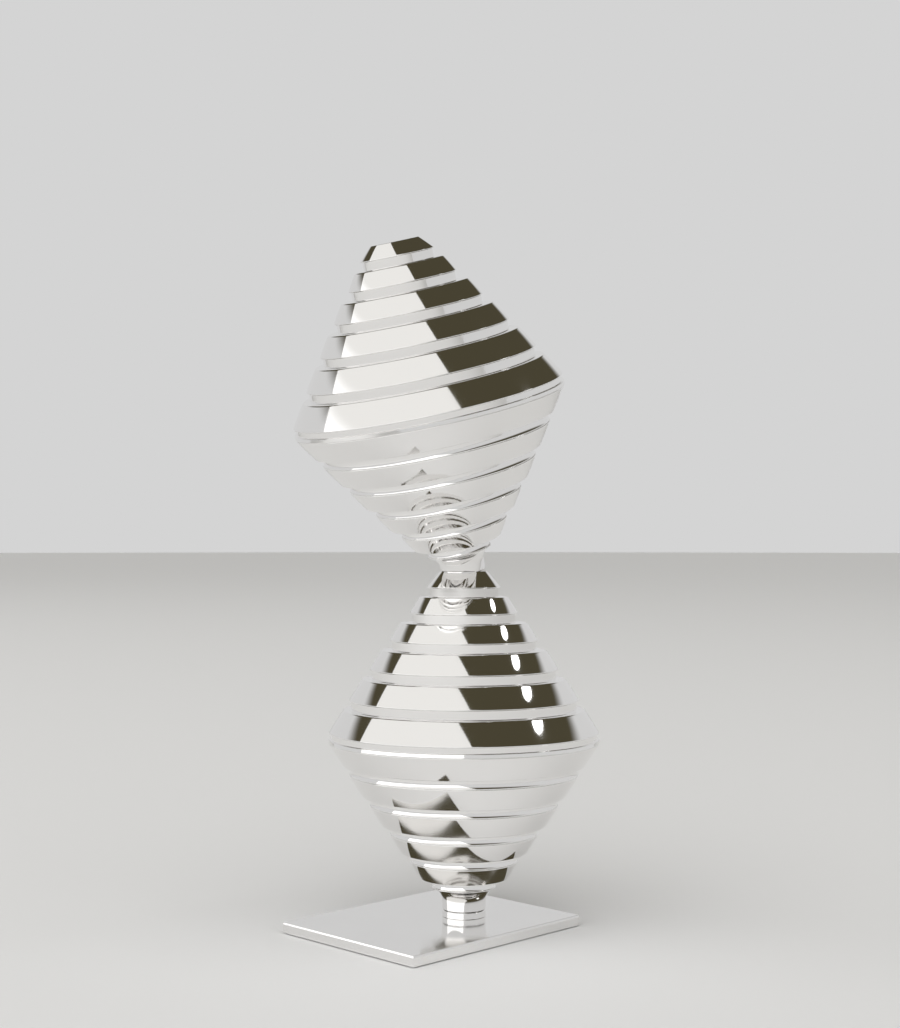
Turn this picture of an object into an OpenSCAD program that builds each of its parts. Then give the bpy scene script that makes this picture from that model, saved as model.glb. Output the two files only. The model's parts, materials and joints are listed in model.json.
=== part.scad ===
// Magnetic desk sculpture: two stepped double cones on a thin plate. Each double cone is a stack of
// thin-walled turned tiers on a core tube. The lower one stands on a fixed pin, and the upper one on
// the stem of a steel dome that a magnet holds in a round seat, so that it leans, turns and pulls off.

/* [Double cone] */
// Radius at the equator
equator_r = 40; // [33:0.5:56]
// How much wider the last tier is than the tip or cap beyond it
last_step = 5; // [4.1:0.1:8]
// How much the tier next to the equator narrows over its own height
first_taper = 4.4; // [2:0.1:5.3]
// How much less each tier narrows than the one before
taper_drop = 0.35; // [0:0.05:0.4]
// Height of the tier next to the equator
first_tier_h = 6.8; // [5:0.1:10]
// How much lower each tier is than the one before
tier_h_drop = 0.45; // [0:0.05:0.7]
// Height of the groove between two tiers
groove_h = 2.6; // [2:0.1:4]
// How far a groove lies inside the wide edge beside it
groove_depth = 0.75; // [0.3:0.05:1]
// Wall of a tier, measured level
tier_wall = 1.2; // [1:0.1:1.6]
// Thickness of a tier's inner web
web_t = 1.2; // [0.8:0.1:1.8]
// Height of the equator ring's raised band
band_h = 1.05; // [0.8:0.05:3]
// Height of the groove above the raised band
band_groove_h = 1.7; // [0.6:0.05:2]
// Depth of the groove above the raised band
band_groove_depth = 0.8; // [0.4:0.1:0.9]

/* [Tip and neck] */
// Wall of the collar round the tip's hub
collar_wall = 1.5; // [0.8:0.1:3]
// Height of the lower tip
tip_h = 4.9; // [4:0.1:8]
// Height of the cap on the upper double cone
cap_h = 4; // [3.5:0.1:8]
// Level width of the socketed tip's rim
rim_t = 0.2; // [0.15:0.05:0.6]
// Wall of the neck round the core tube
neck_wall = 1; // [0.6:0.1:1.6]
// How much wider the neck's upper edge is than its lower end
neck_flare = 3.05; // [1.5:0.05:4]
// Height of the neck
neck_h = 6.6; // [5.5:0.1:9]
// Height of the hollow curve between the neck's stem and its wide edge
neck_flare_h = 3.6; // [2:0.1:4]

/* [Neck joint] */
// Lean of the upper double cone as it stands
lean_deg = 16.7; // [0:0.1:17]
// Largest lean that the seat allows
max_lean_deg = 17; // [17:0.5:20]
// How much smaller the dome's radius is than the neck's end
dome_step = 0.25; // [0.1:0.05:0.8]
// Depth at which the dome is cut flat
dome_cut = 4.2; // [3.5:0.1:5.2]
// Wall of the seat liner at the dome's widest
liner_wall = 1.35; // [0.8:0.05:2.5]
// Floor of the seat liner under the dome's lowest reach
liner_floor = 0.8; // [0.5:0.1:1.5]
// Wall of the tip's hub round the liner
hub_wall = 1.1; // [0.8:0.1:2.5]
// Thickness of the magnet under the liner
seat_magnet_h = 3; // [2:0.1:4]

/* [Pins and core] */
// Radius of the pin on the base and of the dome's stem
pin_r = 2.5; // [2:0.1:3.5]
// Wall of a bush
bush_wall = 1.45; // [1:0.05:2]
// Length of a bush
bush_len = 12; // [8:0.1:20]
// Thickness of the clip that keeps a bush on its pin
clip_t = 0.8; // [0.6:0.1:1.2]
// Depth of the clip's groove in the pin
clip_groove = 0.5; // [0.3:0.1:0.8]
// Length of pin beyond its clip
pin_end = 0.9; // [0.5:0.1:2]
// Wall of the core tube
core_wall = 1.4; // [1:0.1:2]
// Thickness of the magnet above a pin
pin_magnet_h = 3; // [2:0.5:6]
// Depth that the core tube enters the neck
core_in_neck = 3.6; // [2:0.1:4.5]
// Depth that the core tube enters the top cap
core_in_cap = 2.6; // [2:0.1:3]

/* [Base] */
// Length of the plate, along X
plate_l = 68; // [54:0.1:90]
// Width of the plate, along Y
plate_w = 55; // [45:0.1:80]
// Thickness of the plate
plate_t = 3; // [2.6:0.1:5]
// Bevel along the plate's upper and lower edges
plate_bevel = 0.3; // [0.1:0.05:0.6]
// Middle of the plate along X, measured from the column
plate_x = -9.5; // [-14:0.5:0]
// Middle of the plate along Y, measured from the column
plate_y = 3.5; // [-5:0.5:5]
// Thickness of the pad under the plate
pad_t = 0.3; // [0.2:0.1:1.5]
// Distance from the plate's edge to the pad's edge
pad_inset = 3; // [1.5:0.5:6]
// Height of the pin's round foot above the plate
seat_h = 2; // [1.5:0.1:4]
// Radius of the fixing screw's thread
screw_r = 1.25; // [1:0.05:1.5]
// Length of the fixing screw under its head
screw_len = 6; // [5:0.5:8]

/* [Fits] */
// Radial running clearance of a pin in its bush
run_clear = 0.05; // [0.02:0.01:0.1]
// Radial clearance of a bush in its bore, of the dome in its liner and of the liner in its tip
slide_clear = 0.05; // [0.02:0.01:0.1]
// Gap between a neck's end face and what it stands on
face_gap = 0.1; // [0.05:0.05:0.3]
// Gap between the leaning neck and the rim of the tip below it
rim_clear = 0.15; // [0.1:0.05:0.4]
// Radial clearance of the tiers on the core tube and of the fixed pieces inside it
fit_clear = 0.02; // [0.01:0.01:0.05]

/* [Hidden] */
$fn = 128;
tiers = 5;
end_gap = 0.3;        // free space between pieces that face each other inside the core
through = 1;          // how far a cutting tool runs past the face that it cuts
head_slope = 1.5;     // width that the fixing screw's head gains over its thread
flare_deg = 65;       // arc that the neck's hollow curve covers
arc_steps = 8;        // straight steps in that curve

// The radii follow one another outwards, each by a wall and a clearance, from the pin to the tip.
bush_r = pin_r + run_clear + bush_wall;
bore_r = bush_r + slide_clear;                        // the way through the neck and the core tube
core_r = bore_r + core_wall;
neck_end_r = core_r + neck_wall;
neck_top_r = neck_end_r + neck_flare;
dome_r = neck_end_r - dome_step;
liner_r = dome_r + slide_clear + liner_wall;
hub_r = liner_r + slide_clear + hub_wall;
tip_base_r = hub_r + collar_wall + groove_depth;
last_tier_r = tip_base_r + last_step;
tier_step = (equator_r - last_tier_r) / (tiers - 1);

// A tier's wide radius, narrow radius, height and distance from the equator ring. Tier 0 is next to it.
function wide_r(k) = equator_r - k * tier_step;
function taper(k) = first_taper - k * taper_drop;
function narrow_r(k) = wide_r(k) - taper(k);
function tier_h(k) = first_tier_h - k * tier_h_drop;
function tier_z(k) = k == 0 ? 0 : tier_z(k - 1) + tier_h(k - 1) + groove_h;
// The radius of the groove beyond a tier, where end_r is the wide radius of the tip or neck.
function groove_r(k, end_r) = (k < tiers - 1 ? wide_r(k + 1) : end_r) - groove_depth;

stack_h = tier_z(tiers);                              // five tiers with their grooves
equator_h = band_h + band_groove_h;
under_z = neck_h;                                     // heights in a double cone, from its neck's end
equator_z = under_z + stack_h;
top_z = equator_z + equator_h;
tip_z = top_z + stack_h;
cone_h = tip_z + tip_h;

pin_len = bush_len + 2 * face_gap + clip_t + pin_end;
pin_magnet_z = pin_len + end_gap;
clip_r = bush_r - end_gap;
core_z = under_z - core_in_neck;

mouth_r = neck_end_r / cos(max_lean_deg) + rim_clear; // the opening that the leaning neck dips into
tip_top_r = mouth_r + rim_t;
mouth_h = neck_end_r * sin(max_lean_deg) + end_gap;
dome_flat_r = sqrt(dome_r * dome_r - dome_cut * dome_cut);
dome_reach = dome_cut * cos(max_lean_deg) + dome_flat_r * sin(max_lean_deg) + end_gap / 2;
liner_top = mouth_h + slide_clear;                    // depths below the tip's rim
liner_end = dome_reach + liner_floor;
magnet_top = liner_end + slide_clear;
magnet_end = magnet_top + seat_magnet_h;
hub_end = tip_h + groove_h + tier_h(tiers - 1);       // the hub stands on the web of the tier below

plate_z = pad_t;
plate_top = plate_z + plate_t;
seat_top = plate_top + seat_h;
lower_z = seat_top + face_gap;
pivot_z = lower_z + cone_h;                           // the middle of the lower tip's rim

// ---- Places ----

module on_pin() { translate([0, 0, lower_z]) children(); }

// The upper double cone's own upright frame, leaning about the middle of the lower tip's rim.
module on_stem() { translate([0, 0, pivot_z]) rotate([0, -lean_deg, 0]) children(); }

module above_gap() { translate([0, 0, face_gap]) children(); }

module below_rim() { translate([0, 0, cone_h]) mirror([0, 0, 1]) children(); }

// ---- Shared shapes ----

module ring(outer, inner, h) {
    difference() {
        cylinder(r = outer, h = h);
        translate([0, 0, -through]) cylinder(r = inner, h = h + 2 * through);
    }
}

// One tier, wide edge down: a thin cone wall, the smaller collar that makes the groove, and a web
// across the collar's end with a hole for what passes through it.
module tier(k, end_r, hole_r) {
    h = tier_h(k);
    collar = groove_r(k, end_r);
    web_z = h + groove_h;
    ledge_r = narrow_r(k) + taper(k) * web_t / h - tier_wall;
    rotate_extrude() polygon([
        [wide_r(k) - tier_wall, 0], [wide_r(k), 0], [narrow_r(k), h], [collar, h],
        [collar, web_z], [hole_r, web_z], [hole_r, web_z - web_t],
        [collar - tier_wall, web_z - web_t], [collar - tier_wall, h - web_t], [ledge_r, h - web_t]]);
}

module top_tier(k, end_r, hole_r) {
    color("gainsboro") translate([0, 0, top_z + tier_z(k)]) tier(k, end_r, hole_r);
}

module under_tier(k) {
    color("gainsboro") translate([0, 0, equator_z - tier_z(k)]) mirror([0, 0, 1])
        tier(k, neck_top_r, core_r + fit_clear);
}

// The ring between the two stacks: a raised band below and a shallow groove above it.
module equator_ring() {
    color("silver") translate([0, 0, equator_z]) {
        ring(equator_r, core_r + fit_clear, band_h);
        translate([0, 0, band_h])
            ring(equator_r - band_groove_depth, equator_r - 2 * tier_wall, band_groove_h);
    }
}

// The neck flares in a hollow curve, part of an ellipse, from its stem to its wide upper edge.
module neck() {
    flare_z = neck_h - neck_flare_h;
    color("gainsboro") difference() {
        rotate_extrude() polygon(concat(
            [[0, 0], [neck_end_r, 0]],
            [for (i = [0:arc_steps]) let (a = flare_deg * i / arc_steps)
                [neck_end_r + neck_flare * (1 - cos(a)) / (1 - cos(flare_deg)),
                 flare_z + neck_flare_h * sin(a) / sin(flare_deg)]],
            [[0, neck_h]]));
        translate([0, 0, -through]) cylinder(r = bore_r, h = neck_h + 2 * through);
        translate([0, 0, core_z]) cylinder(r = core_r + fit_clear, h = neck_h);
    }
}

module core_tube(end_z) {
    color("darkgray") translate([0, 0, core_z]) ring(core_r, bore_r, end_z - core_z);
}

// The magnet inside the core tube draws the pin below it, and the bush with it.
module pin_magnet() {
    color("dimgray") translate([0, 0, pin_magnet_z]) cylinder(r = bore_r - fit_clear, h = pin_magnet_h);
}

module bush() {
    color("peru") above_gap() ring(bush_r, pin_r + run_clear, bush_len);
}

module clip() {
    color("dimgray") translate([0, 0, bush_len + 2 * face_gap]) difference() {
        ring(clip_r, pin_r - clip_groove + fit_clear, clip_t);
        translate([-(pin_r - clip_groove), -clip_r - through, -through])
            cube([2 * (pin_r - clip_groove), clip_r + through, clip_t + 2 * through]);
    }
}

// The upright pin with its groove for the clip, from its foot's upper face.
module pin() {
    difference() {
        cylinder(r = pin_r, h = pin_len);
        translate([0, 0, bush_len + 2 * face_gap - fit_clear])
            ring(pin_r + through, pin_r - clip_groove, clip_t + 2 * fit_clear);
    }
}

// A flat slab with bevelled upper and lower edges.
module slab(l, w, t, bevel) {
    intersection() {
        translate([0, w / 2, 0]) rotate([90, 0, 0]) linear_extrude(w) bevelled(l, t, bevel);
        translate([-l / 2, 0, 0]) rotate([90, 0, 90]) linear_extrude(l) bevelled(w, t, bevel);
    }
}

module bevelled(l, t, bevel) {
    polygon([
        [-l / 2 + bevel, 0], [l / 2 - bevel, 0], [l / 2, bevel], [l / 2, t - bevel],
        [l / 2 - bevel, t], [-l / 2 + bevel, t], [-l / 2, t - bevel], [-l / 2, bevel]]);
}

// ---- Base ----

module foot_pad() {
    color("darkslategray") translate([plate_x, plate_y, pad_t / 2])
        cube([plate_l - 2 * pad_inset, plate_w - 2 * pad_inset, pad_t], center = true);
}

module base_plate() {
    color("gainsboro") difference() {
        translate([plate_x, plate_y, plate_z]) slab(plate_l, plate_w, plate_t, plate_bevel);
        screw_shape(2 * fit_clear);
    }
}

// The fixing screw's outline, larger all round by grow: a countersunk head below and a thread above.
module screw_shape(grow) {
    translate([0, 0, plate_z - grow])
        cylinder(r1 = screw_r + head_slope + grow, r2 = screw_r + grow, h = head_slope + grow);
    translate([0, 0, plate_z]) cylinder(r = screw_r + grow, h = screw_len);
}

module base_screw() { color("dimgray") screw_shape(0); }

module base_pin() {
    color("gainsboro") difference() {
        union() {
            translate([0, 0, plate_top]) cylinder(r = neck_end_r, h = seat_h);
            translate([0, 0, seat_top]) pin();
        }
        translate([0, 0, plate_z]) cylinder(r = screw_r + fit_clear, h = screw_len + end_gap);
    }
}

module base_clip() { translate([0, 0, seat_top]) clip(); }

// ---- Neck joint ----

// The lower tip: a cone with a mouth for the leaning neck, and inside it a hub for the liner, the
// magnet and the end of the core tube.
module lower_tip() {
    color("gainsboro") on_pin() below_rim() difference() {
        union() {
            cylinder(r1 = tip_top_r, r2 = tip_base_r, h = tip_h);
            translate([0, 0, liner_top]) cylinder(r = hub_r, h = hub_end - liner_top);
        }
        translate([0, 0, -through]) cylinder(r = mouth_r, h = mouth_h + through);
        translate([0, 0, mouth_h]) cylinder(r = liner_r + slide_clear, h = magnet_end - mouth_h);
        translate([0, 0, liner_top]) cylinder(r = core_r + fit_clear, h = hub_end);
    }
}

module seat_liner() {
    color("ivory") on_pin() below_rim() difference() {
        translate([0, 0, liner_top]) cylinder(r = liner_r, h = liner_end - liner_top);
        intersection() {
            sphere(r = dome_r + slide_clear);
            cylinder(r = liner_r, h = dome_reach);
        }
    }
}

module seat_magnet() {
    color("dimgray") on_pin() below_rim()
        translate([0, 0, magnet_top]) cylinder(r = liner_r, h = seat_magnet_h);
}

// The steel dome: the lower half of a ball, cut flat below, with a stem that the upper cone turns on.
module dome_stud() {
    color("silver") on_stem() {
        intersection() {
            sphere(r = dome_r);
            translate([0, 0, -dome_cut]) cylinder(r = dome_r + through, h = dome_cut);
        }
        pin();
    }
}

module dome_clip() { on_stem() clip(); }

// ---- Lower double cone ----

module lower_bush() { translate([0, 0, seat_top]) bush(); }
module lower_neck() { on_pin() neck(); }
module lower_core_tube() { on_pin() core_tube(cone_h - magnet_end - slide_clear); }
module lower_pin_magnet() { on_pin() pin_magnet(); }
module lower_equator_ring() { on_pin() equator_ring(); }
module lower_under_tier(k) { on_pin() under_tier(k); }
module lower_top_tier(k) {
    on_pin() top_tier(k, tip_base_r, (k < tiers - 1 ? core_r : hub_r) + fit_clear);
}

// ---- Upper double cone ----

module upper_bush() { on_stem() bush(); }
module upper_neck() { on_stem() above_gap() neck(); }
module upper_core_tube() { on_stem() above_gap() core_tube(tip_z + core_in_cap); }
module upper_pin_magnet() { on_stem() above_gap() pin_magnet(); }
module upper_equator_ring() { on_stem() above_gap() equator_ring(); }
module upper_under_tier(k) { on_stem() above_gap() under_tier(k); }
module upper_top_tier(k) { on_stem() above_gap() top_tier(k, tip_base_r, core_r + fit_clear); }
module upper_cap() {
    color("gainsboro") on_stem() above_gap() difference() {
        translate([0, 0, tip_z]) cylinder(r1 = tip_base_r, r2 = tip_top_r, h = cap_h);
        translate([0, 0, tip_z - through]) cylinder(r = core_r + fit_clear, h = core_in_cap + through);
    }
}

foot_pad();
base_plate();
base_pin();
base_screw();
base_clip();
lower_bush();
lower_neck();
lower_core_tube();
lower_pin_magnet();
lower_equator_ring();
lower_under_tier(0);  // lower_under_tier_1
lower_under_tier(1);  // lower_under_tier_2
lower_under_tier(2);  // lower_under_tier_3
lower_under_tier(3);  // lower_under_tier_4
lower_under_tier(4);  // lower_under_tier_5
lower_top_tier(0);  // lower_top_tier_1
lower_top_tier(1);  // lower_top_tier_2
lower_top_tier(2);  // lower_top_tier_3
lower_top_tier(3);  // lower_top_tier_4
lower_top_tier(4);  // lower_top_tier_5
lower_tip();
seat_magnet();
seat_liner();
dome_stud();
dome_clip();
upper_bush();
upper_neck();
upper_core_tube();
upper_pin_magnet();
upper_equator_ring();
upper_under_tier(0);  // upper_under_tier_1
upper_under_tier(1);  // upper_under_tier_2
upper_under_tier(2);  // upper_under_tier_3
upper_under_tier(3);  // upper_under_tier_4
upper_under_tier(4);  // upper_under_tier_5
upper_top_tier(0);  // upper_top_tier_1
upper_top_tier(1);  // upper_top_tier_2
upper_top_tier(2);  // upper_top_tier_3
upper_top_tier(3);  // upper_top_tier_4
upper_top_tier(4);  // upper_top_tier_5
upper_cap();
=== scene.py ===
import json

import bpy
import numpy as np
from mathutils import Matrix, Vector


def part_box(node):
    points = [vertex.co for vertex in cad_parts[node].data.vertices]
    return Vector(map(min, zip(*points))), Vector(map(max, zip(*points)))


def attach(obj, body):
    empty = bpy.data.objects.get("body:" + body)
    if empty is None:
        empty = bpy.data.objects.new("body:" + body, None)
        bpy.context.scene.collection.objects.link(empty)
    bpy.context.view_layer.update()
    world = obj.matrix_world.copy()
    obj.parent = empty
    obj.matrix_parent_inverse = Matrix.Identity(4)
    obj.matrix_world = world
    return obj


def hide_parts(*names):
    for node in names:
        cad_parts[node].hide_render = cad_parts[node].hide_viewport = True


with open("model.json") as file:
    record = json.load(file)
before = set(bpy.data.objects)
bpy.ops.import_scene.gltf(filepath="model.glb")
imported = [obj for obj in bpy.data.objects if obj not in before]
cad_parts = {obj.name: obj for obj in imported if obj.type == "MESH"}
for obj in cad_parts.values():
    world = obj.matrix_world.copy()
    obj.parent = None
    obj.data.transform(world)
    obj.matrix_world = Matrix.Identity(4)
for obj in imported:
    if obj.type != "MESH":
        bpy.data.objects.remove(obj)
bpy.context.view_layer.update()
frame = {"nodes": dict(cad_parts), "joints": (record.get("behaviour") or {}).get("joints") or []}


# ---- Base plate ----
# An oblong of steel plate, ground flat and polished, with upright sides that lean in a little near the
# top and barely rounded edges. It carries the whole column on one screw from below.

mm = 0.001


def linear(hex_colour):
    """An sRGB hex colour as linear red, green, blue and alpha: c / 12.92 up to 0.04045, and above that
    (c + 0.055) / 1.055 to the power 2.4."""
    c = np.array([int(hex_colour[i:i + 2], 16) for i in (1, 3, 5)]) / 255
    return (*np.where(c <= 0.04045, c / 12.92, ((c + 0.055) / 1.055) ** 2.4), 1.0)


def add(tree, kind, inputs=None, **settings):
    """Adds a node of that kind with its settings. Each input is a value, or an output to link from."""
    node = tree.nodes.new(kind)
    for name, value in settings.items():
        setattr(node, name, value)
    for socket, value in (inputs or {}).items():
        if isinstance(value, bpy.types.NodeSocket):
            tree.links.new(value, node.inputs[socket])
        else:
            node.inputs[socket].default_value = value
    return node


def start_material(name, colour, metallic, roughness):
    """A new material whose one shader has this colour, metalness and roughness."""
    material = bpy.data.materials.new(name)
    material.use_nodes = True
    shader = material.node_tree.nodes["Principled BSDF"]
    shader.inputs["Base Color"].default_value = linear(colour)
    shader.inputs["Metallic"].default_value = metallic
    shader.inputs["Roughness"].default_value = roughness
    return material, material.node_tree, shader


def vary_roughness(tree, shader, place, grain, least, most):
    """Lets the roughness drift between two values in cloudy patches of the size grain."""
    cloud = add(tree, "ShaderNodeTexNoise", {"Vector": place, "Scale": 1 / grain, "Detail": 3.0})
    spread = add(tree, "ShaderNodeMapRange", {
        "Value": cloud.outputs["Fac"], "From Min": 0.3, "From Max": 0.7, "To Min": least, "To Max": most})
    tree.links.new(spread.outputs["Result"], shader.inputs["Roughness"])


def polished_steel_plate():
    """Stainless steel, ground flat and polished: slightly soft reflections, and a cloudy haze where the
    buffing wheel has passed."""
    material, tree, shader = start_material("polished_steel_plate", "#f3f2f1", 1.0, 0.12)
    place = add(tree, "ShaderNodeTexCoord").outputs["Object"]
    vary_roughness(tree, shader, place, 14 * mm, 0.1, 0.15)
    return material


def rounded(corners):
    """An outline's points and outward normals. A corner is radius, height and rounding, and an arc of
    that radius, tangent to both its sides, takes its place. A corner with no rounding is one point of
    a smooth curve. An outline that starts on the axis also ends there, and any other closes."""
    corners = np.array(corners, float)
    area = np.sum(corners[:, 0] * np.roll(corners[:, 1], -1) - np.roll(corners[:, 0], -1) * corners[:, 1])
    corners = corners if area > 0 else corners[::-1]
    spots, rounding = corners[:, :2], corners[:, 2:]
    before, after = np.roll(spots, 1, axis=0), np.roll(spots, -1, axis=0)
    if spots[0, 0] == 0:
        before[0], after[-1] = spots[1] * (-1, 1), spots[-2] * (-1, 1)
    arrive = (spots - before) / np.linalg.norm(spots - before, axis=1, keepdims=True)
    leave = (after - spots) / np.linalg.norm(after - spots, axis=1, keepdims=True)
    bend = np.arctan2(np.cross(arrive, leave), (arrive * leave).sum(1))[:, None]
    arc_points = 6
    part = np.linspace(0, 1, arc_points)
    facing = np.arctan2(-arrive[:, :1], arrive[:, 1:]) + bend * np.where(rounding > 0, part, 0.5)
    normals = np.stack([np.cos(facing), np.sin(facing)], axis=2)
    outward = np.sign(bend) * rounding
    centre = spots - arrive * rounding * np.tan(np.abs(bend) / 2) - outward * normals[:, 0]
    points = centre[:, None] + outward[:, :, None] * normals
    kept = (rounding > 0) | (part == 0)
    return points[kept], normals[kept]


def piece_of(name, spots, facings, loops, counts):
    """A smooth object at the origin. Each vertex has a spot and a normal, and the faces are one run of
    corners, with the number of corners of each."""
    mesh = bpy.data.meshes.new(name)
    mesh.vertices.add(len(spots))
    mesh.vertices.foreach_set("co", spots.astype(np.float32).ravel())
    mesh.loops.add(len(loops))
    mesh.loops.foreach_set("vertex_index", loops.astype(np.int32).ravel())
    mesh.polygons.add(len(counts))
    mesh.polygons.foreach_set("loop_start", (np.cumsum(counts) - counts).astype(np.int32))
    mesh.update(calc_edges=True)
    mesh.shade_smooth()
    mesh.normals_split_custom_set_from_vertices(facings)
    piece = bpy.data.objects.new(name, mesh)
    bpy.context.scene.collection.objects.link(piece)
    return piece


def slab(name, low, high, corner_r, corners):
    """A flat oblong piece in the box from low to high: the rounded outline of its edge, at radius r and
    height h, goes to (r cos a, r sin a, h) from the middle of the box's nearest upright corner rounding,
    for every angle a. The top and the bottom are closed by one face each."""
    points, normals = (part[1:-1] for part in rounded(corners))
    quarter_points = 9
    quarter = np.linspace(0, np.pi / 2, quarter_points)
    angle = np.concatenate([quarter + i * np.pi / 2 for i in range(4)])
    ring = np.stack([np.cos(angle), np.sin(angle), np.ones(len(angle))], axis=1)
    inward = np.array([[-1, -1, 0], [1, -1, 0], [1, 1, 0], [-1, 1, 0]])
    box_corners = np.array([
        [high.x, high.y, 0], [low.x, high.y, 0], [low.x, low.y, 0], [high.x, low.y, 0]])
    middles = np.repeat(box_corners + inward * corner_r, quarter_points, axis=0)
    spots = points[:, None, [0, 0, 1]] * ring + middles
    facings = normals[:, None, [0, 0, 1]] * ring
    rows, around = len(points), len(angle)
    i, j = np.arange(rows - 1)[:, None] * around, np.arange(around)[None]
    following = (j + 1) % around
    sides = np.stack([i + j, i + following, i + around + following, i + around + j], axis=2)
    bottom, top = np.arange(around)[::-1], np.arange(around) + (rows - 1) * around
    return piece_of(name, spots.reshape(-1, 3), facings.reshape(-1, 3),
                    np.concatenate([sides.ravel(), bottom, top]),
                    np.r_[np.full(sides.size // 4, 4), around, around])


low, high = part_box("base_plate")
corner_r = 0.5 * mm
lean_h, lean_in = 0.55 * mm, 0.19 * mm
under_edge, side_bend, top_edge = 0.15 * mm, 0.3 * mm, 0.08 * mm
plate = slab("polished_plate", low, high, corner_r, [
    (0, low.z, 0), (corner_r, low.z, under_edge), (corner_r, high.z - lean_h, side_bend),
    (corner_r - lean_in, high.z, top_edge), (0, high.z, 0)])
plate.data.materials.append(polished_steel_plate())
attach(plate, "base")
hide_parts("base_plate")


# ---- Pad, screw and clips ----
# Pressed wool felt is glued under the plate. The screw and the two spring clips are blackened steel
# with a thin film of oil. None of them shows while the sculpture stands.

def paint(node, material):
    """Gives a CAD node that keeps its own shape its one material."""
    slots = frame["nodes"][node].data.materials
    slots.clear()
    slots.append(material)


def wool_felt():
    """Dark pressed wool: fibres about 0.3 mm apart, drawn as a fine tangled noise."""
    fibre_gap = 0.3 * mm
    material, tree, shader = start_material("wool_felt", "#2f3133", 0.0, 0.95)
    place = add(tree, "ShaderNodeTexCoord").outputs["Object"]
    fibres = add(tree, "ShaderNodeTexNoise", {
        "Vector": place, "Scale": 1 / fibre_gap, "Detail": 6.0, "Distortion": 1.5}).outputs["Fac"]
    shade = add(tree, "ShaderNodeValToRGB", {"Fac": fibres})
    shade.color_ramp.elements[0].color = linear("#1e2022")
    shade.color_ramp.elements[1].color = linear("#4a4d50")
    tree.links.new(shade.outputs["Color"], shader.inputs["Base Color"])
    bump = add(tree, "ShaderNodeBump", {"Height": fibres, "Strength": 0.8, "Distance": 0.2 * mm})
    tree.links.new(bump.outputs["Normal"], shader.inputs["Normal"])
    shader.inputs["Sheen Weight"].default_value = 0.3
    return material


def tool_marks(tree, shader, place, grain, detail):
    """Marks of the size grain and up to 0.01 mm deep, as a cutter leaves them."""
    marks = add(tree, "ShaderNodeTexNoise", {"Vector": place, "Scale": 1 / grain, "Detail": detail})
    bump = add(tree, "ShaderNodeBump", {
        "Height": marks.outputs["Fac"], "Strength": 0.5, "Distance": 0.01 * mm})
    tree.links.new(bump.outputs["Normal"], shader.inputs["Normal"])


def satin_metal(name, colour, roughness, grain):
    """A machined or plated metal: cloudy roughness, and tool marks of the size grain."""
    material, tree, shader = start_material(name, colour, 1.0, roughness)
    place = add(tree, "ShaderNodeTexCoord").outputs["Object"]
    vary_roughness(tree, shader, place, 8 * grain, 0.8 * roughness, 1.3 * roughness)
    tool_marks(tree, shader, place, grain, 4.0)
    return material


paint("foot_pad", wool_felt())
blackened_steel = satin_metal("blackened_steel", "#4a4a4c", 0.4, 0.4 * mm)
for node in ("base_screw", "base_clip", "dome_clip"):
    paint(node, blackened_steel)


# ---- Base pin ----
# A turned pin that the lower double cone stands and turns on. Its round foot, polished like the rest,
# shows between the plate and the neck. A groove near the pin's end takes the spring clip.

def levels(node, place):
    """A turned CAD node's sizes on its own axis, upwards: rows of height, least and greatest radius.
    Rows in the middle of a sloping or straight face, which have only one radius, are left out, apart
    from the lowest and the highest."""
    mesh = frame["nodes"][node].data
    local = np.empty(len(mesh.vertices) * 3, np.float32)
    mesh.vertices.foreach_get("co", local)
    origin, turn = place
    local = (local.reshape(-1, 3) - origin) @ turn
    local = local[np.argsort(local[:, 2])]
    radius, height = np.hypot(local[:, 0], local[:, 1]), local[:, 2]
    apart = 0.01 * mm
    starts = np.r_[0, np.flatnonzero(np.diff(height) > apart) + 1]
    least, greatest = np.minimum.reduceat(radius, starts), np.maximum.reduceat(radius, starts)
    kept = greatest - least > apart
    kept[[0, -1]] = True
    return np.column_stack([height[starts], least, greatest])[kept]


def turned(name, corners, place, around=256):
    """A turned piece: its rounded outline carried round its axis, so that a point at radius r and height
    h goes to (r cos a, r sin a, h) for every angle a, then turned and moved to its place. An end on the
    axis is a fan round one point. The attribute along is the length along the outline, in metres."""
    points, normals = rounded(corners)
    rows, on_axis = len(points), points[0, 0] == 0
    angle = np.linspace(0, 2 * np.pi, around, endpoint=False)
    ring = np.stack([np.cos(angle), np.sin(angle), np.ones(around)], axis=1)
    origin, turn = place
    spots = ((points[:, None, [0, 0, 1]] * ring).reshape(-1, 3)) @ turn.T + origin
    facings = ((normals[:, None, [0, 0, 1]] * ring).reshape(-1, 3)) @ turn.T
    along = np.repeat(np.r_[0, np.cumsum(np.linalg.norm(np.diff(points, axis=0), axis=1))], around)
    i, j = np.arange(rows - on_axis)[:, None], np.arange(around)[None]
    low, high, following = i * around, (i + 1) % rows * around, (j + 1) % around
    faces = np.stack([low + j, low + following, high + following, high + j], axis=2).reshape(-1, 4)
    loops, counts = faces.ravel(), np.full(len(faces), 4)
    if on_axis:
        first, last = faces[:around, [0, 2, 3]], faces[-around:, [0, 1, 2]]
        first[:, 0], last[:, 2] = 0, (rows - 1) * around
        between = faces[around:-around]
        loops = np.concatenate([first.ravel(), between.ravel(), last.ravel()])
        counts = np.repeat([3, 4, 3], [around, len(between), around])
    used, loops = np.unique(loops, return_inverse=True)
    piece = piece_of(name, spots[used], facings[used], loops, counts)
    lengths = piece.data.attributes.new("along", "FLOAT", "POINT")
    lengths.data.foreach_set("value", along[used].astype(np.float32))
    return piece


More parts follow.
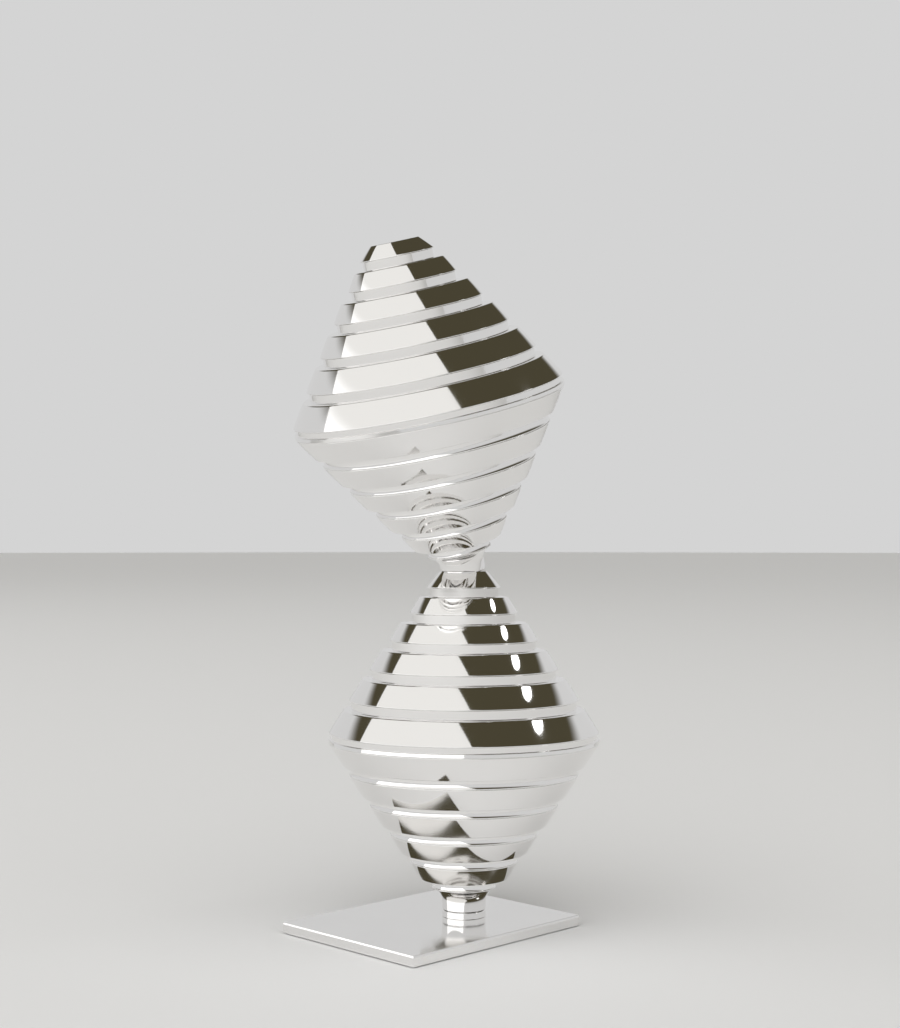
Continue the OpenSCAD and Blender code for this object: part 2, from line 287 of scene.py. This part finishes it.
def polished_aluminium():
    """Aluminium, turned and then buffed to a mirror: sharp reflections, patches that are a little duller,
    and rings about 0.4 mm apart left by the buffing, at most 0.002 mm deep."""
    ring_gap = 0.4 * mm
    material, tree, shader = start_material("polished_aluminium", "#f6f5f4", 1.0, 0.05)
    place = add(tree, "ShaderNodeTexCoord").outputs["Object"]
    vary_roughness(tree, shader, place, 9 * mm, 0.035, 0.075)
    along = add(tree, "ShaderNodeAttribute", attribute_name="along").outputs["Fac"]
    rings = add(tree, "ShaderNodeTexNoise", {"W": along, "Scale": 1 / ring_gap, "Detail": 2.0},
                noise_dimensions="1D")
    bump = add(tree, "ShaderNodeBump", {
        "Height": rings.outputs["Fac"], "Strength": 0.6, "Distance": 0.002 * mm})
    tree.links.new(bump.outputs["Normal"], shader.inputs["Normal"])
    return material


def polished(name, node, body, corners, place):
    """A turned and polished piece that takes a CAD node's place on its body."""
    piece = turned(name, corners, place)
    piece.data.materials.append(aluminium)
    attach(piece, body)
    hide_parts(node)


aluminium = polished_aluminium()
upright = (np.zeros(3), np.eye(3))
foot_rows, pin_rows = np.split(levels("base_pin", upright), [2])
(under, hole, foot), (foot_top, _, _) = foot_rows
(groove, groove_r, _), (groove_end, _, pin), (pin_top, _, _) = pin_rows
screw_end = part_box("base_screw")[1].z
broken, sharp, eased = 0.1 * mm, 0.05 * mm, 0.3 * mm
polished("pin_and_foot", "base_pin", "base", [
    (0, screw_end, 0), (hole, screw_end, 0.2 * mm), (hole, under, broken), (foot, under, 0.15 * mm),
    (foot, foot_top, eased), (pin, foot_top, broken), (pin, groove, sharp),
    (groove_r, groove, sharp), (groove_r, groove_end, sharp), (pin, groove_end, sharp),
    (pin, pin_top, eased), (0, pin_top, 0)], upright)


# ---- Necks, tiers and equator rings ----
# Each double cone is a stack of thin-walled rings turned from aluminium, threaded on a core tube: a
# flared neck, five tiers that widen upwards, the equator ring, and five tiers that narrow again.
# Each tier's face is very slightly crowned, as buffing leaves it, and its edges are barely broken.

def crowned(start, end, rise):
    """Points between two corners on a shallow arc that stands out by rise in the middle: at a part f of
    the way, 4 rise f (1 - f) out from the straight line."""
    start, end = np.array(start), np.array(end)
    arc_parts = 8
    part = np.linspace(0, 1, arc_parts + 1)[1:-1, None]
    side = end - start
    outward = np.array([side[1], -side[0]]) / np.linalg.norm(side)
    outward *= np.sign(outward[0])
    points = start + side * part + outward * 4 * rise * part * (1 - part)
    return [(r, z, 0) for r, z in points]


def spreading(radius, low_z, high_z, spread):
    """Points down a groove's wall: straight in its upper part, and below that wider by spread t squared
    at a part t of the way to its lower end."""
    curve_parts, curve_share = 8, 0.65
    t = np.linspace(0, 1, curve_parts + 1)
    start_z = low_z + curve_share * (high_z - low_z)
    return [(r, z, 0) for r, z in zip(radius + spread * t ** 2, start_z + (low_z - start_z) * t)]


def tier_corners(node, place):
    """A tier's outline: a sloping wall from the wide edge to the narrow one, then the collar that makes
    the groove, and the web across the collar's end. An upper narrow edge is well rounded, and a groove
    that hangs below its tier spreads downwards."""
    rows = levels(node, place)
    rows = rows if rows[0, 2] > rows[-1, 2] else rows[::-1]
    (wide_z, lip, wide), (inner_z, collar_in, ledge_in), (ledge_z, collar, narrow) = rows[:3]
    (web_z, web_hole, _), (end_z, _, _) = rows[3:]
    wide_edge, crown, inner_corner = 0.25 * mm, 0.08 * mm, 0.2 * mm
    if end_z > ledge_z:
        narrow_edge = 0.7 * mm
        groove = [(collar, ledge_z, 0.15 * mm), (collar, end_z, broken)]
    else:
        narrow_edge, spread = 0.2 * mm, 0.4 * mm
        groove = [(collar, ledge_z, broken), *spreading(collar, end_z, ledge_z, spread)]
    return [
        (lip, wide_z, broken), (wide, wide_z, wide_edge),
        *crowned((wide, wide_z), (narrow, ledge_z), crown), (narrow, ledge_z, narrow_edge), *groove,
        (web_hole, end_z, broken), (web_hole, web_z, broken), (collar_in, web_z, inner_corner),
        (collar_in, inner_z, inner_corner), (ledge_in, inner_z, inner_corner)]


def neck_corners(node, place):
    """A neck's outline: a stem that widens very slightly, by hollow t squared at a part t of the neck's
    height, then a hollow curve out to the wide edge. Along it the radius grows as 1 - cos a and the
    height as sin a, up to the angle sweep."""
    (end_z, bore, stem), (seat_z, _, core), (top_z, _, wide) = levels(node, place)
    lip, flare_h, hollow, end_clear = 0.25 * mm, 3.6 * mm, 0.65 * mm, 0.4 * mm
    lip_edge = 0.08 * mm
    sweep = np.radians(65)
    stem_points, flare_points = 6, 12
    a = np.r_[np.zeros(stem_points), np.linspace(0, sweep, flare_points)[1:-1]]
    height = top_z - flare_h + (flare_h - lip) * np.sin(a) / np.sin(sweep)
    height[:stem_points] = np.linspace(end_z + end_clear, top_z - flare_h, stem_points)
    widening = hollow * ((height - end_z) / (top_z - end_z)) ** 2
    flaring = (wide - stem - hollow) * (1 - np.cos(a)) / (1 - np.cos(sweep))
    curve = np.stack([stem + widening + flaring, height], axis=1)
    return [
        (bore, end_z, broken), (stem, end_z, 0.2 * mm), *[(r, z, 0) for r, z in curve],
        (wide, top_z - lip, lip_edge), (wide, top_z, lip_edge), (core, top_z, broken),
        (core, seat_z, broken), (bore, seat_z, broken)]


def equator_corners(node, place):
    """The equator ring's outline: a raised band that leans in a little upwards, and a narrower ring
    above it that makes the groove."""
    (low_z, hole, wide), (band_z, _, _), (top_z, inner, groove) = levels(node, place)
    band_lean = 0.22 * mm
    return [
        (hole, low_z, broken), (wide, low_z, broken), (wide - band_lean, band_z, 0.12 * mm),
        (groove, band_z, 0.15 * mm), (groove, top_z, broken), (inner, top_z, broken),
        (inner, band_z, broken), (hole, band_z, broken)]


tiers_each_way = 5
spin = next(joint for joint in frame["joints"] if joint["name"] == "upper_spin")
lean_axis = np.array(spin["axis"]) / np.linalg.norm(spin["axis"])
across = np.array([0.0, 1.0, 0.0])
leaning = (np.array(spin["pos_m"]), np.column_stack([np.cross(across, lean_axis), across, lean_axis]))
for cone, place in (("lower", upright), ("upper", leaning)):
    body = cone + "_cone"
    node = cone + "_neck"
    polished(cone + "_flared_neck", node, body, neck_corners(node, place), place)
    node = cone + "_equator_ring"
    polished(cone + "_equator_band", node, body, equator_corners(node, place), place)
    for stack in ("under", "top"):
        for number in range(1, tiers_each_way + 1):
            node = f"{cone}_{stack}_tier_{number}"
            polished(f"{cone}_{stack}_ring_{number}", node, body, tier_corners(node, place), place)


# ---- Inside the double cones ----
# Core tubes of drawn aluminium, bronze bushes, and nickel-plated disc magnets that draw the pins. They
# are pushed in from the ends before the caps go on, and stay out of sight.

tube = satin_metal("drawn_aluminium_tube", "#c9c9ca", 0.3, 0.6 * mm)
bronze = satin_metal("sintered_bronze", "#b98a52", 0.35, 0.15 * mm)
nickel = satin_metal("nickel_plated_magnet", "#c4c0b8", 0.15, 0.5 * mm)
for cone in ("lower", "upper"):
    paint(cone + "_core_tube", tube)
    paint(cone + "_bush", bronze)
    paint(cone + "_pin_magnet", nickel)
paint("seat_magnet", nickel)


# ---- Neck joint ----
# The lower tip has an open mouth. In it an acetal liner holds the polished steel dome that the upper
# double cone stands on, and the magnet below the liner keeps the dome in its seat at any lean.

def acetal():
    """White acetal, turned: a slightly waxy satin plastic with fine tool marks."""
    material, tree, shader = start_material("turned_acetal", "#ebe8df", 0.0, 0.35)
    shader.inputs["IOR"].default_value = 1.48
    place = add(tree, "ShaderNodeTexCoord").outputs["Object"]
    vary_roughness(tree, shader, place, 3 * mm, 0.3, 0.42)
    tool_marks(tree, shader, place, 0.3 * mm, 3.0)
    return material


paint("seat_liner", acetal())
paint("dome_stud", satin_metal("polished_bearing_steel", "#d9d7d4", 0.08, 0.8 * mm))
hub_rows, tip_rows = np.split(levels("lower_tip", upright), [2])
(hub_z, core, hub), (seat_z, _, bore) = hub_rows
(base_z, _, tip_base), (mouth_z, mouth, _), (rim_z, _, rim) = tip_rows
base_edge, rim_edge, end_crown = 0.2 * mm, 0.06 * mm, 0.05 * mm
polished("lower_socketed_tip", "lower_tip", "lower_cone", [
    (core, hub_z, broken), (hub, hub_z, broken), (hub, base_z, broken), (tip_base, base_z, base_edge),
    *crowned((tip_base, base_z), (rim, rim_z), end_crown), (rim, rim_z, rim_edge),
    (mouth, rim_z, rim_edge), (mouth, mouth_z, broken), (bore, mouth_z, broken),
    (bore, seat_z, broken), (core, seat_z, broken)], upright)


# ---- Cap ----
# The closed, flat-topped end of the upper double cone. It is turned solid from the same aluminium,
# buffed like the tiers, and pressed on the core tube.

(base_z, core, cap_base), (cap_z, _, cap_top) = levels("upper_cap", leaning)
tube_end = levels("upper_core_tube", leaning)[-1, 0]
polished("flat_topped_cap", "upper_cap", "upper_cone", [
    (0, tube_end, 0), (core, tube_end, 0.2 * mm), (core, base_z, broken), (cap_base, base_z, base_edge),
    *crowned((cap_base, base_z), (cap_top, cap_z), end_crown), (cap_top, cap_z, 0.25 * mm),
    (0, cap_z, 0)], leaning)


# ---- Floor, light and camera ----
# A plain pale floor in a plain pale studio with an unlit ceiling. A broad soft lamp stands on the left
# of the camera, a small round one on the right, and a very soft sun lights the floor from above.

view_turn, view_rise = np.radians(44.99), np.radians(1.254)
away = np.array([np.sin(view_turn), np.cos(view_turn), 0])
aside = np.array([np.cos(view_turn), -np.sin(view_turn), 0])
camera_distance, camera_aside, camera_h = 0.473, -0.0041, 0.1113
camera = bpy.data.objects.new("camera", bpy.data.cameras.new("camera"))
camera.data.lens = 55.86
camera.data.sensor_width = 36
camera.location = -camera_distance * away + camera_aside * aside + (0, 0, camera_h)
camera.rotation_euler = (np.pi / 2 + view_rise, 0, -view_turn)
bpy.context.scene.collection.objects.link(camera)
bpy.context.scene.camera = camera
bpy.context.scene.view_settings.view_transform = "Standard"

floor_r = 40.0
floor_corners = [(x * floor_r, y * floor_r, 0) for x, y in ((-1, -1), (1, -1), (1, 1), (-1, 1))]
floor_mesh = bpy.data.meshes.new("studio_floor")
floor_mesh.from_pydata(floor_corners, [], [(0, 1, 2, 3)])
floor_mesh.materials.append(start_material("matt_white_paint", "#e6e6e6", 0.0, 0.8)[0])
floor = bpy.data.objects.new("studio_floor", floor_mesh)
bpy.context.scene.collection.objects.link(floor)

wall_end, ceiling_start = 0.36, 0.48
world = bpy.data.worlds.new("studio")
bpy.context.scene.world = world
world.use_nodes = True
tree = world.node_tree
direction = add(tree, "ShaderNodeTexCoord").outputs["Generated"]
height = add(tree, "ShaderNodeSeparateXYZ", {"Vector": direction}).outputs["Z"]
overhead = add(tree, "ShaderNodeMapRange", {
    "Value": height, "From Min": wall_end, "From Max": ceiling_start}, interpolation_type="SMOOTHSTEP")
colour = add(tree, "ShaderNodeMixRGB", {
    "Fac": overhead.outputs["Result"], "Color1": linear("#d4d4d4"), "Color2": linear("#4a4535")})
tree.links.new(colour.outputs["Color"], tree.nodes["Background"].inputs["Color"])


def soft_lamp(name, shape, width, height, watts, turn, rise, distance):
    """An area lamp that faces the sculpture, turn degrees to the right of the camera and rise degrees up,
    both as seen from the sculpture. Sizes are in metres."""
    turn, rise = np.radians(turn), np.radians(rise)
    level = aside * np.sin(turn) - away * np.cos(turn)
    place = Vector(distance * (level * np.cos(rise) + np.array([0, 0, np.sin(rise)])))
    light = bpy.data.lights.new(name, "AREA")
    light.shape = shape
    light.size, light.size_y = width, height
    light.energy = watts
    lamp = bpy.data.objects.new(name, light)
    lamp.location = place
    lamp.rotation_euler = place.to_track_quat("Z", "Y").to_euler()
    lamp.visible_camera = False
    bpy.context.scene.collection.objects.link(lamp)


soft_lamp("white_softbox", "RECTANGLE", width=6.6, height=3.4, watts=58.0, turn=-50, rise=40, distance=3.0)
soft_lamp("round_lamp", "ELLIPSE", width=0.42, height=0.2, watts=0.8, turn=91, rise=46, distance=2.0)

sun = bpy.data.lights.new("soft_sun", "SUN")
sun.angle = np.radians(80)
sun.energy = 1.75
overhead_sun = bpy.data.objects.new("soft_sun", sun)
overhead_sun.rotation_euler = (np.radians(25), np.radians(-20), 0)
overhead_sun.visible_glossy = False
bpy.context.scene.collection.objects.link(overhead_sun)
